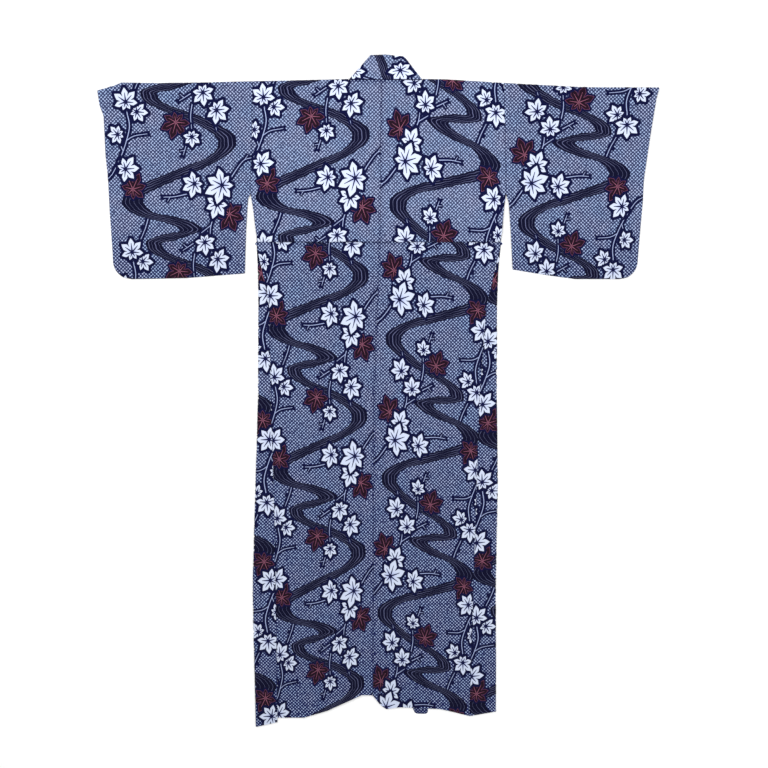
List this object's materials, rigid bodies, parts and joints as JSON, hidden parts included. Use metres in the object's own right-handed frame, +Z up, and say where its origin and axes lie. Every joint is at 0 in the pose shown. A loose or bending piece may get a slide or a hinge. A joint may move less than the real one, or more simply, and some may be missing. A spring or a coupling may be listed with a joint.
{
  "type": "cotton yukata robe",
  "caption": "Unlined cotton summer robe with square sleeves and a folded collar band, laid face down and flat with its back on top and its sleeves spread.",
  "frame": {"origin": "middle of the laid garment's bounding box, on the surface it lies on", "axes": "+Y from the hem towards the collar, +X towards the sleeve on the right as seen from above, +Z up from the surface"},
  "size_m": [1.392, 1.7516, 0.01],
  "materials": {
    "body_cotton": "matt woven cotton, navy ground with fine white dots, white and maroon maple leaves and dark streams",
    "overlap_cotton": "matt woven cotton, the same print",
    "sleeve_cotton": "matt woven cotton, the same print",
    "collar_cotton": "matt woven cotton, the same print, folded double"
  },
  "bodies": {
    "root": {"body_left": "body_cotton", "body_right": "body_cotton", "overlap_left": "overlap_cotton", "overlap_right": "overlap_cotton", "sleeve_left": "sleeve_cotton", "sleeve_right": "sleeve_cotton", "collar": "collar_cotton"}
  },
  "joints": []
}
